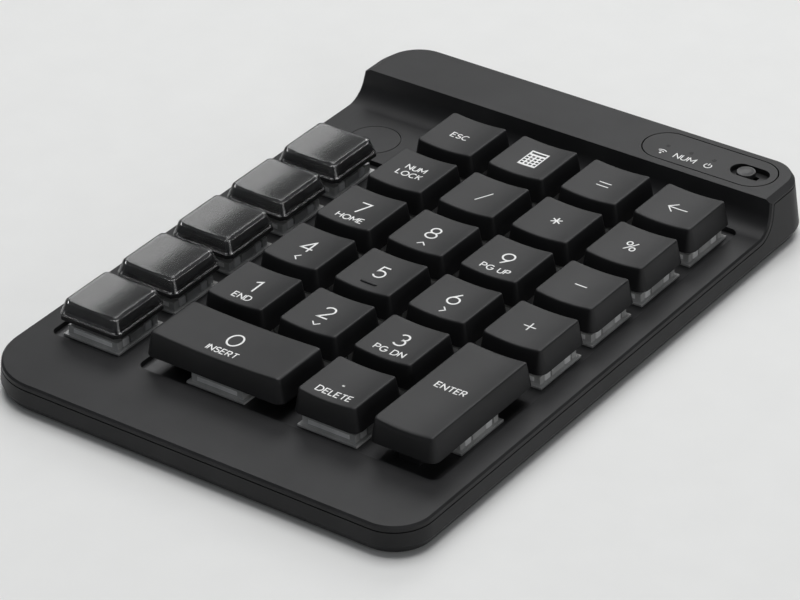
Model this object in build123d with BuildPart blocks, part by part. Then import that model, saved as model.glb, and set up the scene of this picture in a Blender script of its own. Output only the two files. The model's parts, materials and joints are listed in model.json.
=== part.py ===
"""Programmable desk keypad: 22 dished keys, 5 clear label keys and a rear bar with a power slider.

Millimetres. +X runs right along the rows, +Y to the rear bar, +Z up.
The origin is on the desk, under the middle of the case.
"""

import os
from math import atan, cos, degrees, radians, sin, tan

from build123d import *

os.makedirs("parts", exist_ok=True)

# Key layout
key_pitch = 19.05
macro_offset = 23.5
macro_keys = 5
key_rows = [
    ["key_escape", "key_calculator", "key_equals", "key_backspace"],
    ["key_num_lock", "key_divide", "key_multiply", "key_percent"],
    ["key_7", "key_8", "key_9", "key_minus"],
    ["key_4", "key_5", "key_6", "key_plus"],
    ["key_1", "key_2", "key_3", "key_enter"],
    ["key_0", None, "key_decimal", None],
]
double_keys = {"key_0": (2, 1), "key_enter": (1, 2)}
homing_key = "key_5"

# Case outline
right_margin = 6.3
left_margin = 5.6
front_margin = 19.0
corner_radius = 9.3
rear_left_radius = 11.0
front_left_radius = 14.5
well_corner = 2.0

# Heights, from the desk up
foot_height = 0.9
floor_thickness = 1.4
board_floor_gap = 0.3
board_thickness = 1.2
switch_depth = 2.2
plate_thickness = 1.2
cover_thickness = 1.2
bar_rise = 7.0
key_rise = 8.2

# Case walls
wall = 1.3
wall_draft = 1.2
facet_height = 1.9
facet_inset = 1.0
shoulder_height = 0.8
shoulder_inset = 1.5
shoulder_rear = 0.2
parting_gap = 0.25
edge_break = 0.4

# Sweep from the deck up to the bar
sweep_lead = 1.15
sweep_radius = 5.3
sweep_angle = 75.0

# Black keycaps
cap_gap = 2.45
cap_inset = 1.1
cap_corner = 1.25
cap_wall = 0.95
cap_roof = 1.5
dish_sag = 0.58
homing_length = 4.2
homing_width = 0.6
homing_height = 0.3
homing_inset = 2.6

# Clear label keys
macro_drop = 0.5
macro_cover_height = 3.4
macro_inset = 1.35
macro_cover_wall = 0.8
macro_dish_sag = 0.2
macro_flange = 0.95
macro_fit = 0.15
label_thickness = 0.15

# Low-profile switches
key_travel = 2.6
housing_flange = 15.0
housing_flange_height = 0.6
housing_size = 13.4
housing_roof = 0.9
notch_length = 2.8
notch_depth = 0.9
notch_spread = 7.4
base_size = 13.9
base_floor = 0.6
slider_length = 9.6
slider_width = 4.8
slider_lip = 0.7
slider_lip_height = 0.45
spring_bore = 3.4
spring_radius = 1.55
spring_wall = 0.4
spring_length = 5.95
spring_sides = 4
socket_depth = 0.6

# Guides that keep the double keys level
guide_spread = 24.0
guide_length = 5.2
guide_width = 6.0
guide_height = 2.2
guide_post = 3.2
guide_engagement = 0.6

# Plate, board and their posts
plate_overlap = 2.5
board_front_gap = 7.55
post_size = 3.2
post_columns = 2
post_rows = 3
chip_size = 7.0
chip_height = 0.9
chip_x = 10.0
shield_length = 14.0
shield_width = 6.4
shield_height = 1.7
shield_x = 33.0
electronics_inset = 12.0

# Status window and power slider
window_length = 33.1
window_right_margin = 5.4
window_front_border = 2.3
window_rear_border = 1.8
window_groove = 0.3
window_lip = 0.3
window_lip_height = 1.0
lamp_inset = 5.8
lamp_slot_gap = 4.5
lamps = 3
lamp_length = 1.6
lamp_width = 0.9
lamp_height = 0.7
pipe_radius = 0.5
pipe_sides = 6
slot_inset = 6.2
slot_length = 9.4
slot_width = 5.2
slot_depth = 1.3
knob_radius = 2.15
knob_offset = 1.0
power_travel = 2.0
knob_post = 1.6
status_board_inset = 1.55
status_board_width = 10.2
status_board_thickness = 1.0
status_board_drop = 3.6
status_post_spread = 18.0
switch_body_length = 9.0
switch_body_width = 4.4
switch_body_height = 2.2
switch_slot_depth = 1.6

# Battery bay on the underside of the bar
cell_radius = 5.25
cell_length = 44.5
cell_nub_radius = 1.9
cell_nub_length = 0.8
cell_nub_sides = 6
bay_x = -17.0
bay_lead = 11.68
bay_rear_margin = 10.0
bay_clearance = 0.35
contact_thickness = 0.4
contact_size = 8.0
bay_rib = 1.2
bay_rib_height = 7.0
bay_floor = 2.6
door_thickness = 1.1
door_border = 1.4
door_tongue = 0.5
door_travel = 5.0
door_grip = 0.4
door_grip_width = 1.0
door_grips = 4
door_grip_pitch = 2.2

# Feet, screws with their bosses at the front, and the hooks along the rear
foot_length = 24.0
foot_width = 6.0
foot_recess = 0.6
foot_front_inset = 10.5
foot_rear_inset = 24.0
foot_side_inset = 20.0
boss_size = 4.2
boss_side_inset = 0.8
boss_inset = 5.1
screw_radius = 0.9
screw_sides = 6
screw_head_radius = 1.7
screw_head_height = 0.8
screw_length = 3.6
hooks = 3
hook_inset = 4.9
hook_window_gap = 3.3
hook_length = 9.0
hook_thickness = 1.0
hook_drop = 2.6
hook_tooth = 0.5
hook_tooth_height = 1.2

# Badge disc
badge_radius = 6.0
badge_recess = 0.6
badge_ahead = 1.6

# Clearances
seat_gap = 0.05
running_gap = 0.1
screw_gap = 0.05
loose_gap = 0.2

# Places worked out from the sizes above
columns = len(key_rows[0])
rows = len(key_rows)
pad_width = columns * key_pitch
pad_depth = rows * key_pitch
rear_depth = bay_lead + bay_rear_margin
body_width = left_margin + macro_offset + pad_width + right_margin
body_depth = front_margin + pad_depth + rear_depth
macro_x = -body_width / 2 + left_margin + key_pitch / 2
first_x = macro_x + macro_offset
pad_x = body_width / 2 - right_margin - pad_width / 2
pad_y = -body_depth / 2 + front_margin + pad_depth / 2
rear_row_y = pad_y + pad_depth / 2 - key_pitch / 2
macro_depth = macro_keys * key_pitch
macro_y = pad_y - pad_depth / 2 + macro_depth / 2

floor_z = foot_height + floor_thickness
board_z = floor_z + board_floor_gap
board_top_z = board_z + board_thickness
plate_top_z = board_top_z + switch_depth
plate_z = plate_top_z - plate_thickness
deck_z = plate_top_z + cover_thickness
bar_z = deck_z + bar_rise
bar_under_z = bar_z - cover_thickness
cap_top_z = deck_z + key_rise
cap_base_z = deck_z + key_travel
cap_height = cap_top_z - cap_base_z
macro_top_z = cap_top_z - macro_drop
macro_skirt_z = macro_top_z - macro_cover_height
base_floor_z = board_top_z + base_floor
slider_lip_z = base_floor_z + running_gap + key_travel
housing_z = plate_top_z + housing_flange_height
housing_top_z = slider_lip_z + slider_lip_height + seat_gap + housing_roof
housing_height = housing_top_z - housing_z
bore_top_z = base_floor_z + spring_length + seat_gap
sweep_y = body_depth / 2 - rear_depth - sweep_lead
sweep_rise = sweep_radius * (1 - cos(radians(sweep_angle)))
sweep_run = sweep_radius * sin(radians(sweep_angle)) + (bar_rise - sweep_rise) / tan(radians(sweep_angle))
bar_front_y = sweep_y + sweep_run
bar_rear_y = body_depth / 2 - wall_draft - shoulder_rear

plate_width = body_width - left_margin - right_margin + 2 * plate_overlap
plate_depth = pad_depth + 2 * plate_overlap
plate_x = (left_margin - right_margin) / 2
board_front_y = -body_depth / 2 + board_front_gap
board_rear_y = pad_y + plate_depth / 2
electronics_y = -body_depth / 2 + electronics_inset

window_x = body_width / 2 - window_right_margin - window_length / 2
window_width = bar_rear_y - window_rear_border - bar_front_y - window_front_border
window_y = bar_front_y + window_front_border + window_width / 2
window_left = window_x - window_length / 2
window_right = window_x + window_length / 2
slot_x = window_right - slot_inset
knob_x = slot_x - knob_offset
slot_floor_z = bar_z - slot_depth
window_under_z = bar_under_z - window_lip_height
status_board_top_z = bar_under_z - status_board_drop
status_board_z = status_board_top_z - status_board_thickness
status_board_x = window_x
status_board_length = window_length - 2 * status_board_inset
first_lamp_x = window_left + lamp_inset
last_lamp_x = slot_x - slot_length / 2 - lamp_slot_gap
lamp_spacing = (last_lamp_x - first_lamp_x) / (lamps - 1)
lamp_places = [(first_lamp_x + k * lamp_spacing, window_y) for k in range(lamps)]

bay_y = body_depth / 2 - bay_rear_margin
bay_length = cell_length + 2 * contact_thickness + 2 * seat_gap
bay_width = 2 * (cell_radius + bay_clearance)
bay_ceiling_z = foot_height + bay_floor
door_top_z = foot_height + door_thickness
door_length = bay_length + 2 * door_border
door_width = bay_width + 2 * door_border
cell_z = door_top_z + loose_gap + cell_radius

inner_wall = wall + wall_draft
boss_x = body_width / 2 - front_left_radius - boss_side_inset
screw_places = [(side * boss_x, -body_depth / 2 + boss_inset) for side in (-1, 1)]
first_hook_x = -body_width / 2 + rear_left_radius + hook_inset
hook_spacing = (window_left - hook_window_gap - first_hook_x) / (hooks - 1)
hook_y = body_depth / 2 - inner_wall - running_gap
hook_places = [(first_hook_x + k * hook_spacing, 0) for k in range(hooks)]
hook_foot_z = bar_under_z - hook_drop
catch_z = hook_foot_z + hook_tooth_height
cap_slope = cap_inset / cap_height
macro_slope = macro_inset / macro_cover_height
foot_x = body_width / 2 - foot_side_inset
foot_places = [
    (side * foot_x, y)
    for y in (-body_depth / 2 + foot_front_inset, body_depth / 2 - foot_rear_inset)
    for side in (-1, 1)
]
post_spread = 2 * key_pitch
UP = (Align.CENTER, Align.CENTER, Align.MIN)
DOWN = (Align.CENTER, Align.CENTER, Align.MAX)


def save(part, node):
    """Labels one finished piece and writes it."""
    part.label = node
    export_step(part, "parts/" + node + ".step")


def key_place(column, row, span):
    """The middle of a key that starts in this column and row and spans one or two pitches."""
    x = first_x + (column + (span[0] - 1) / 2) * key_pitch
    y = rear_row_y - (row + (span[1] - 1) / 2) * key_pitch
    return x, y


numeric_keys = {
    node: (key_place(column, row, double_keys.get(node, (1, 1))), double_keys.get(node, (1, 1)))
    for row, names in enumerate(key_rows)
    for column, node in enumerate(names)
    if node
}
macro_rear_y = macro_y + macro_depth / 2 - key_pitch / 2
macro_places = [(macro_x, macro_rear_y - k * key_pitch) for k in range(macro_keys)]
switch_places = [place for place, span in numeric_keys.values()] + macro_places


def guide_places(place, span):
    """Where the two guide posts of a double key stand; none for a single key."""
    along_x = guide_spread / 2 if span[0] > 1 else 0
    along_y = guide_spread / 2 if span[1] > 1 else 0
    if span == (1, 1):
        return []
    return [(place[0] + side * along_x, place[1] + side * along_y) for side in (-1, 1)]


guides = [spot for place, span in numeric_keys.values() for spot in guide_places(place, span)]


def case_outline(inset_x, inset_y):
    """The outline of the case drawn in by these insets; its front left corner is the roundest."""
    with BuildSketch() as outline:
        Rectangle(body_width - 2 * inset_x, body_depth - 2 * inset_y)
        fillet(outline.vertices().group_by(Axis.X)[-1], corner_radius - inset_x)
        rear_left = outline.vertices().sort_by_distance((-body_width, body_depth))[0]
        fillet(rear_left, rear_left_radius - inset_x)
        front_left = outline.vertices().sort_by_distance((-body_width, -body_depth))[0]
        fillet(front_left, front_left_radius - inset_x)
    return outline.sketch


def body_outline():
    """The closed outer form of the case: bottom facet, drafted wall and the shoulder of the bar."""
    sections = [
        (foot_height, facet_inset, facet_inset),
        (foot_height + facet_height, 0, 0),
        (bar_z - shoulder_height, wall_draft, wall_draft),
        (bar_z, wall_draft + shoulder_inset, wall_draft + shoulder_rear),
    ]
    with BuildPart() as outline:
        for height, inset_x, inset_y in sections:
            with BuildSketch(Plane.XY.offset(height)):
                add(case_outline(inset_x, inset_y))
        loft(ruled=True)
    return outline.part


def below_skin(drop):
    """All that lies under the deck, the sweep and the bar top, each lowered square to itself by drop."""
    reach = sweep_radius + drop
    arc_y = sweep_y + reach * sin(radians(sweep_angle))
    arc_z = deck_z + sweep_radius - reach * cos(radians(sweep_angle))
    bar_y = arc_y + (bar_z - drop - arc_z) / tan(radians(sweep_angle))
    with BuildPart() as block:
        with BuildSketch(Plane.YZ):
            with BuildLine():
                deck = Line((-body_depth, deck_z - drop), (sweep_y, deck_z - drop))
                CenterArc((sweep_y, deck_z + sweep_radius), reach, -90, sweep_angle)
                Polyline(
                    (arc_y, arc_z),
                    (bar_y, bar_z - drop),
                    (body_depth, bar_z - drop),
                    (body_depth, -body_depth),
                    (-body_depth, -body_depth),
                    deck @ 0,
                )
            make_face()
        extrude(amount=body_width, both=True)
    return block.part


def hook_form():
    """One snap hook under the bar's rear edge, its tooth pointing at the case wall."""
    with BuildPart() as hook:
        with BuildSketch(Plane.YZ):
            with BuildLine():
                Polyline(
                    (hook_y, bar_under_z),
                    (hook_y, catch_z),
                    (hook_y + hook_tooth, catch_z),
                    (hook_y, hook_foot_z),
                    (hook_y - hook_thickness, hook_foot_z),
                    (hook_y - hook_thickness, bar_under_z),
                    close=True,
                )
            make_face()
        extrude(amount=hook_length / 2, both=True)
    return hook.part


# Top cover: deck, sweep and bar in one skin, with the key wells cut through and hooks along the rear
with BuildPart() as top_cover:
    add(body_outline())
    add(below_skin(0), mode=Mode.INTERSECT)
    deck = top_cover.faces().filter_by(Plane.XY).sort_by(Axis.Z)[1]
    chamfer(deck.edges().sort_by(Axis.Y)[:-1], edge_break)
    add(below_skin(cover_thickness), mode=Mode.SUBTRACT)
    with Locations(*[(x, y, floor_z) for x, y in screw_places]):
        Box(boss_size, boss_size, plate_top_z - floor_z, align=UP)
    with BuildSketch(Plane.XY.offset(floor_z)):
        with Locations(*screw_places):
            RegularPolygon(screw_radius + screw_gap, screw_sides)
    extrude(amount=screw_length, mode=Mode.SUBTRACT)
    with Locations(*hook_places):
        add(hook_form())
    with BuildSketch(Plane.XY.offset(plate_top_z)):
        with Locations((pad_x, pad_y)):
            RectangleRounded(pad_width, pad_depth, well_corner)
        with Locations((macro_x, macro_y)):
            RectangleRounded(key_pitch, macro_depth, well_corner)
    extrude(amount=cover_thickness + sweep_radius, mode=Mode.SUBTRACT)
    with Locations((macro_x, rear_row_y - badge_ahead, deck_z)):
        Cylinder(badge_radius + loose_gap, badge_recess, align=DOWN, mode=Mode.SUBTRACT)
    with BuildSketch(Plane.XY.offset(bar_under_z)):
        with Locations((window_x, window_y)):
            SlotOverall(window_length + 2 * window_groove, window_width + 2 * window_groove)
    extrude(amount=cover_thickness, mode=Mode.SUBTRACT)
save(top_cover.part, "top_cover")

# Badge disc: plain, flush in its round recess
with BuildPart() as badge_disc:
    with Locations((macro_x, rear_row_y - badge_ahead, deck_z - badge_recess)):
        Cylinder(badge_radius, badge_recess, align=UP)
save(badge_disc.part, "badge_disc")

# Bottom case: tub with posts, hook pockets, battery bay, door track, foot recesses and screw holes
with BuildPart() as bottom_case:
    add(body_outline())
    add(below_skin(cover_thickness + parting_gap), mode=Mode.INTERSECT)
    with BuildSketch(Plane.XY.offset(floor_z)):
        add(case_outline(inner_wall, inner_wall))
    extrude(amount=bar_z - floor_z, mode=Mode.SUBTRACT)
    with Locations((pad_x, pad_y, floor_z)):
        with GridLocations(post_spread, post_spread, post_columns, post_rows):
            Box(post_size, post_size, plate_z - floor_z, align=UP)
    with Locations((status_board_x, window_y, floor_z)):
        with GridLocations(status_post_spread, 0, 2, 1):
            Box(post_size, post_size, status_board_z - floor_z, align=UP)
    with Locations(*[(x, hook_y, hook_foot_z - loose_gap) for x, y in hook_places]):
        Box(
            hook_length + 2 * loose_gap,
            2 * (hook_tooth + loose_gap),
            hook_tooth_height + loose_gap + seat_gap,
            align=UP,
            mode=Mode.SUBTRACT,
        )
    with Locations((bay_x, bay_y, floor_z)):
        Box(door_length, door_width, bay_ceiling_z - floor_z, align=UP)
        with GridLocations(bay_length + bay_rib, 0, 2, 1):
            Box(bay_rib, bay_width, bay_rib_height, align=UP)
    with Locations((bay_x, bay_y, foot_height)):
        Box(bay_length, bay_width, bay_ceiling_z, align=UP, mode=Mode.SUBTRACT)
    with Locations((bay_x - door_travel / 2, bay_y, foot_height)):
        Box(
            door_length + door_travel + 2 * loose_gap,
            door_width + 2 * loose_gap,
            door_thickness + seat_gap,
            align=UP,
            mode=Mode.SUBTRACT,
        )
    with Locations((bay_x - door_travel / 2, bay_y, door_top_z + seat_gap)):
        Box(
            door_length + door_travel + 2 * loose_gap,
            door_width + 2 * (door_tongue + loose_gap),
            door_tongue + 2 * seat_gap,
            align=DOWN,
            mode=Mode.SUBTRACT,
        )
    with Locations(*[(x, y, foot_height) for x, y in foot_places]):
        Box(
            foot_length + 2 * seat_gap,
            foot_width + 2 * seat_gap,
            foot_recess,
            align=UP,
            mode=Mode.SUBTRACT,
        )
    with BuildSketch(Plane.XY.offset(foot_height)):
        with Locations(*screw_places):
            RegularPolygon(screw_head_radius + loose_gap, screw_sides)
    extrude(amount=screw_head_height, mode=Mode.SUBTRACT)
    with BuildSketch(Plane.XY.offset(foot_height)):
        with Locations(*screw_places):
            RegularPolygon(screw_radius + screw_gap, screw_sides)
    extrude(amount=floor_thickness, mode=Mode.SUBTRACT)
save(bottom_case.part, "bottom_case")

# Battery door: slides along the bar on two side tongues, with finger ribs
with BuildPart() as battery_door:
    with Locations((bay_x, bay_y, foot_height)):
        Box(door_length, door_width, door_thickness, align=UP)
    with Locations((bay_x, bay_y, door_top_z)):
        Box(door_length, door_width + 2 * door_tongue, door_tongue, align=DOWN)
    grip_x = bay_x + door_length / 2 - door_border - door_grips * door_grip_pitch / 2
    with Locations((grip_x, bay_y, foot_height)):
        with GridLocations(door_grip_pitch, 0, door_grips, 1):
            Box(door_grip_width, bay_width, door_grip, align=UP, mode=Mode.SUBTRACT)
save(battery_door.part, "battery_door")

# Battery cell, lying along the bar
with BuildPart() as battery_cell:
    with BuildSketch(Plane.YZ.offset(bay_x - cell_length / 2)):
        with Locations((bay_y, cell_z)):
            Circle(cell_radius)
    extrude(amount=cell_length - cell_nub_length)
    with BuildSketch(Plane.YZ.offset(bay_x + cell_length / 2 - cell_nub_length)):
        with Locations((bay_y, cell_z)):
            RegularPolygon(cell_nub_radius, cell_nub_sides)
    extrude(amount=cell_nub_length)
save(battery_cell.part, "battery_cell")

# Battery contacts: a leaf at each end of the cell
with BuildPart() as battery_contacts:
    with Locations((bay_x, bay_y, cell_z)):
        with GridLocations(bay_length - contact_thickness, 0, 2, 1):
            Box(contact_thickness, contact_size, contact_size)
save(battery_contacts.part, "battery_contacts")

# Rubber feet, let into the underside
with BuildPart() as rubber_feet:
    with Locations(*[(x, y, 0) for x, y in foot_places]):
        Box(foot_length, foot_width, foot_height + foot_recess, align=UP)
save(rubber_feet.part, "rubber_feet")

# Case screws, their six-sided heads let into the floor, the shanks up in the cover's bosses
with BuildPart() as case_screws:
    with BuildSketch(Plane.XY.offset(foot_height)):
        with Locations(*screw_places):
            RegularPolygon(screw_head_radius, screw_sides)
    extrude(amount=screw_head_height)
    with BuildSketch(Plane.XY.offset(foot_height + screw_head_height)):
        with Locations(*screw_places):
            RegularPolygon(screw_radius, screw_sides)
    extrude(amount=floor_thickness - screw_head_height + screw_length - loose_gap)
save(case_screws.part, "case_screws")

# Switch plate, with a square hole for each switch
with BuildPart() as switch_plate:
    with BuildSketch(Plane.XY.offset(plate_z)):
        with Locations((plate_x, pad_y)):
            Rectangle(plate_width, plate_depth)
        with Locations(*switch_places):
            Rectangle(base_size + 2 * seat_gap, base_size + 2 * seat_gap, mode=Mode.SUBTRACT)
        with Locations(*guides):
            Rectangle(guide_post + 2 * loose_gap, guide_post + 2 * loose_gap, mode=Mode.SUBTRACT)
    extrude(amount=plate_thickness)
save(switch_plate.part, "switch_plate")

# Main circuit board, with clearance holes for the case posts
with BuildPart() as circuit_board:
    with BuildSketch(Plane.XY.offset(board_z)):
        with Locations((plate_x, (board_front_y + board_rear_y) / 2)):
            Rectangle(plate_width, board_rear_y - board_front_y)
        add(case_outline(inner_wall + loose_gap, inner_wall + loose_gap), mode=Mode.INTERSECT)
        with Locations((pad_x, pad_y)):
            with GridLocations(post_spread, post_spread, post_columns, post_rows):
                Rectangle(post_size + 2 * loose_gap, post_size + 2 * loose_gap, mode=Mode.SUBTRACT)
    extrude(amount=board_thickness)
save(circuit_board.part, "circuit_board")

# Controller chip and radio shield, ahead of the keys
with BuildPart() as controller_chip:
    with Locations((chip_x, electronics_y, board_top_z)):
        Box(chip_size, chip_size, chip_height, align=UP)
save(controller_chip.part, "controller_chip")

with BuildPart() as radio_shield:
    with Locations((shield_x, electronics_y, board_top_z)):
        Box(shield_length, shield_width, shield_height, align=UP)
save(radio_shield.part, "radio_shield")

# Status window: stadium inset held by two ledges, with lamp holes and the slider's recess
with BuildPart() as status_window:
    with BuildSketch(Plane.XY.offset(window_under_z)):
        with Locations((window_x, window_y)):
            SlotOverall(window_length, window_width)
    extrude(amount=window_lip_height + cover_thickness)
    with Locations((window_x, window_y, bar_under_z)):
        Box(
            window_length - window_width,
            window_width + 2 * (window_groove + window_lip),
            window_lip_height,
            align=DOWN,
        )
    with BuildSketch(Plane.XY.offset(slot_floor_z)):
        with Locations((slot_x, window_y)):
            SlotOverall(slot_length, slot_width)
    extrude(amount=slot_depth, mode=Mode.SUBTRACT)
    with Locations((knob_x + power_travel / 2, window_y, slot_floor_z)):
        Box(
            knob_post + power_travel + 2 * loose_gap,
            knob_post + 2 * running_gap,
            slot_floor_z - window_under_z,
            align=DOWN,
            mode=Mode.SUBTRACT,
        )
    with BuildSketch(Plane.XY.offset(window_under_z)):
        with Locations(*lamp_places):
            RegularPolygon(pipe_radius + seat_gap, pipe_sides)
    extrude(amount=bar_z - window_under_z, mode=Mode.SUBTRACT)
save(status_window.part, "status_window")

# Power slider: round knob on a post that reaches into the switch body
with BuildPart() as power_slider:
    with Locations((knob_x, window_y, slot_floor_z + seat_gap)):
        Cylinder(knob_radius, slot_depth - seat_gap, align=UP)
    post_foot_z = status_board_top_z + switch_body_height - switch_slot_depth + seat_gap
    with Locations((knob_x, window_y, post_foot_z)):
        Box(knob_post, knob_post, slot_floor_z + 2 * seat_gap - post_foot_z, align=UP)
save(power_slider.part, "power_slider")

# Power switch body, slotted for the post
with BuildPart() as power_switch_body:
    with Locations((knob_x + power_travel / 2, window_y, status_board_top_z)):
        Box(switch_body_length, switch_body_width, switch_body_height, align=UP)
    with Locations((knob_x + power_travel / 2, window_y, status_board_top_z + switch_body_height)):
        Box(
            knob_post + power_travel + 2 * loose_gap,
            knob_post + 2 * running_gap,
            switch_slot_depth,
            align=DOWN,
            mode=Mode.SUBTRACT,
        )
save(power_switch_body.part, "power_switch_body")

# Status board on its two posts
with BuildPart() as status_board:
    with Locations((status_board_x, window_y, status_board_z)):
        Box(status_board_length, status_board_width, status_board_thickness, align=UP)
save(status_board.part, "status_board")

# Lamps on the status board and the light pipes above them
with BuildPart() as status_lamps:
    with Locations(*[(x, y, status_board_top_z) for x, y in lamp_places]):
        Box(lamp_length, lamp_width, lamp_height, align=UP)
save(status_lamps.part, "status_lamps")

pipe_foot_z = status_board_top_z + lamp_height + seat_gap
with BuildPart() as light_pipes:
    with BuildSketch(Plane.XY.offset(pipe_foot_z)):
        with Locations(*lamp_places):
            RegularPolygon(pipe_radius, pipe_sides)
    extrude(amount=bar_z - pipe_foot_z)
save(light_pipes.part, "light_pipes")

# One switch housing: flange and block, open for the slider, with two clip notches on its right side
with BuildPart() as housing:
    with Locations((0, 0, plate_top_z)):
        Box(housing_flange, housing_flange, housing_flange_height, align=UP)
    with Locations((0, 0, housing_z)):
        Box(housing_size, housing_size, housing_height, align=UP)
    with Locations(((housing_size - notch_depth) / 2, 0, housing_z)):
        with GridLocations(0, notch_spread, 1, 2):
            Box(notch_depth, notch_length, housing_height, align=UP, mode=Mode.SUBTRACT)
    lip_room = 2 * (slider_lip + running_gap)
    with Locations((0, 0, plate_top_z)):
        Box(
            slider_length + lip_room,
            slider_width + lip_room,
            housing_top_z - housing_roof - plate_top_z,
            align=UP,
            mode=Mode.SUBTRACT,
        )
        Box(
            slider_length + 2 * running_gap,
            slider_width + 2 * running_gap,
            housing_top_z - plate_top_z,
            align=UP,
            mode=Mode.SUBTRACT,
        )

with BuildPart() as switch_top_housings:
    with Locations(*switch_places):
        add(housing.part)
save(switch_top_housings.part, "switch_top_housings")

# One switch base: the closed lower body, hollow for the slider
with BuildPart() as base:
    with Locations((0, 0, board_top_z)):
        Box(base_size, base_size, plate_top_z - board_top_z, align=UP)
    with Locations((0, 0, base_floor_z)):
        Box(
            slider_length + lip_room,
            slider_width + lip_room,
            plate_top_z - base_floor_z,
            align=UP,
            mode=Mode.SUBTRACT,
        )

with BuildPart() as switch_bases:
    with Locations(*switch_places):
        add(base.part)
save(switch_bases.part, "switch_bases")

# Return springs, one up the bore of each slider, as few-sided sleeves
with BuildPart() as return_springs:
    with BuildSketch(Plane.XY.offset(base_floor_z)):
        with Locations(*switch_places):
            RegularPolygon(spring_radius, spring_sides)
            RegularPolygon(spring_radius - spring_wall, spring_sides, mode=Mode.SUBTRACT)
    extrude(amount=spring_length)
save(return_springs.part, "return_springs")

# Guides on the plate for the double keys' posts
with BuildPart() as stabilizer_guides:
    with Locations(*[(x, y, plate_top_z) for x, y in guides]):
        Box(guide_length, guide_width, guide_height, align=UP)
        Box(
            guide_post + 2 * running_gap,
            guide_post + 2 * running_gap,
            guide_height,
            align=UP,
            mode=Mode.SUBTRACT,
        )
save(stabilizer_guides.part, "stabilizer_guides")


def tapered(size, corner, slope, base_z, top_z):
    """A block on a rectangle (width, depth) with cut corners, drawn in by slope for each mm of height."""
    with BuildPart() as block:
        with BuildSketch(Plane.XY.offset(base_z)) as foot:
            Rectangle(*size)
            if corner:
                chamfer(foot.vertices(), corner)
        extrude(amount=top_z - base_z, taper=degrees(atan(slope)))
    return block.part


def dish(width, sag, top_z, depth):
    """The cylinder that hollows a key top of this width by sag, its axis along Y."""
    radius = (width**2 / 4 + sag**2) / (2 * sag)
    with BuildPart() as cutter:
        with Locations((0, 0, top_z - sag + radius)):
            Cylinder(radius, depth, rotation=(90, 0, 0))
    return cutter.part


def inside(size, by):
    """A size (width, depth) drawn in by the same amount on each side."""
    return size[0] - 2 * by, size[1] - 2 * by


def slider(roof_z):
    """The slider of a key whose roof is at this height: a lip at the foot and a bore for the spring."""
    with BuildPart() as stem:
        with Locations((0, 0, slider_lip_z)):
            Box(slider_length + 2 * slider_lip, slider_width + 2 * slider_lip, slider_lip_height, align=UP)
            Box(slider_length, slider_width, roof_z + socket_depth - seat_gap - slider_lip_z, align=UP)
            Box(spring_bore, spring_bore, bore_top_z - slider_lip_z, align=UP, mode=Mode.SUBTRACT)
    return stem.part


def socket(roof_z):
    """The socket in a roof at this height that takes the slider's head."""
    with BuildPart() as pocket:
        with Locations((0, 0, roof_z)):
            Box(slider_length + 2 * seat_gap, slider_width + 2 * seat_gap, socket_depth, align=UP)
    return pocket.part


# Black keys: each a dished cap on its slider
for node, (place, span) in numeric_keys.items():
    foot_size = (span[0] * key_pitch - cap_gap, span[1] * key_pitch - cap_gap)
    top_size = inside(foot_size, cap_inset)
    roof_z = cap_top_z - dish_sag - cap_roof
    with BuildPart() as key:
        add(tapered(foot_size, cap_corner, cap_slope, cap_base_z, cap_top_z + dish_sag))
        add(dish(top_size[0], dish_sag, cap_top_z, 2 * foot_size[1]), mode=Mode.SUBTRACT)
        add(tapered(inside(foot_size, cap_wall), 0, cap_slope, cap_base_z, roof_z), mode=Mode.SUBTRACT)
        add(socket(roof_z), mode=Mode.SUBTRACT)
        post_foot_z = plate_top_z + guide_height - guide_engagement
        for x, y in guide_places((0, 0), span):
            with Locations((x, y, post_foot_z)):
                Box(guide_post, guide_post, roof_z + seat_gap - post_foot_z, align=UP)
        if node == homing_key:
            with Locations((0, homing_inset - top_size[1] / 2, cap_top_z - dish_sag)):
                Box(homing_length, homing_width, 2 * homing_height)
        add(slider(roof_z))
    save(Pos(*place) * key.part, node)

# Clear keys: a base with its slider, a label card and a clear cover over both
macro_size = (key_pitch - cap_gap, key_pitch - cap_gap)
macro_top_size = inside(macro_size, macro_inset)
cover_roof_z = macro_top_z - macro_dish_sag - macro_cover_wall
label_z = cover_roof_z - seat_gap - label_thickness
base_top_z = macro_skirt_z - seat_gap
base_under_z = base_top_z - macro_flange
base_roof_z = label_z - cap_wall
pedestal_size = inside(macro_size, macro_cover_wall + macro_fit)
label_size = inside(pedestal_size, macro_slope * (label_z - base_top_z) + macro_fit)

with BuildPart() as clear_cover:
    add(tapered(macro_size, cap_corner, macro_slope, macro_skirt_z, macro_top_z + macro_dish_sag))
    add(dish(macro_top_size[0], macro_dish_sag, macro_top_z, 2 * key_pitch), mode=Mode.SUBTRACT)
    add(
        tapered(inside(macro_size, macro_cover_wall), 0, macro_slope, macro_skirt_z, cover_roof_z),
        mode=Mode.SUBTRACT,
    )

with BuildPart() as label_card:
    with Locations((0, 0, label_z)):
        Box(*label_size, label_thickness, align=UP)

with BuildPart() as macro_base:
    add(tapered(macro_size, cap_corner, 0, base_under_z, base_top_z))
    add(tapered(pedestal_size, 0, macro_slope, base_top_z, label_z))
    add(
        tapered(inside(pedestal_size, cap_wall), 0, macro_slope, base_under_z, base_roof_z),
        mode=Mode.SUBTRACT,
    )
    with Locations((0, 0, base_under_z)):
        Box(
            housing_size + 2 * loose_gap,
            housing_size + 2 * loose_gap,
            housing_top_z - base_under_z + key_travel + running_gap,
            align=UP,
            mode=Mode.SUBTRACT,
        )
    add(socket(base_roof_z), mode=Mode.SUBTRACT)
    add(slider(base_roof_z))

for number, place in enumerate(macro_places, start=1):
    save(Pos(*place) * clear_cover.part, f"macro_cover_{number}")
    save(Pos(*place) * label_card.part, f"macro_label_{number}")
    save(Pos(*place) * macro_base.part, f"macro_base_{number}")
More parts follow.
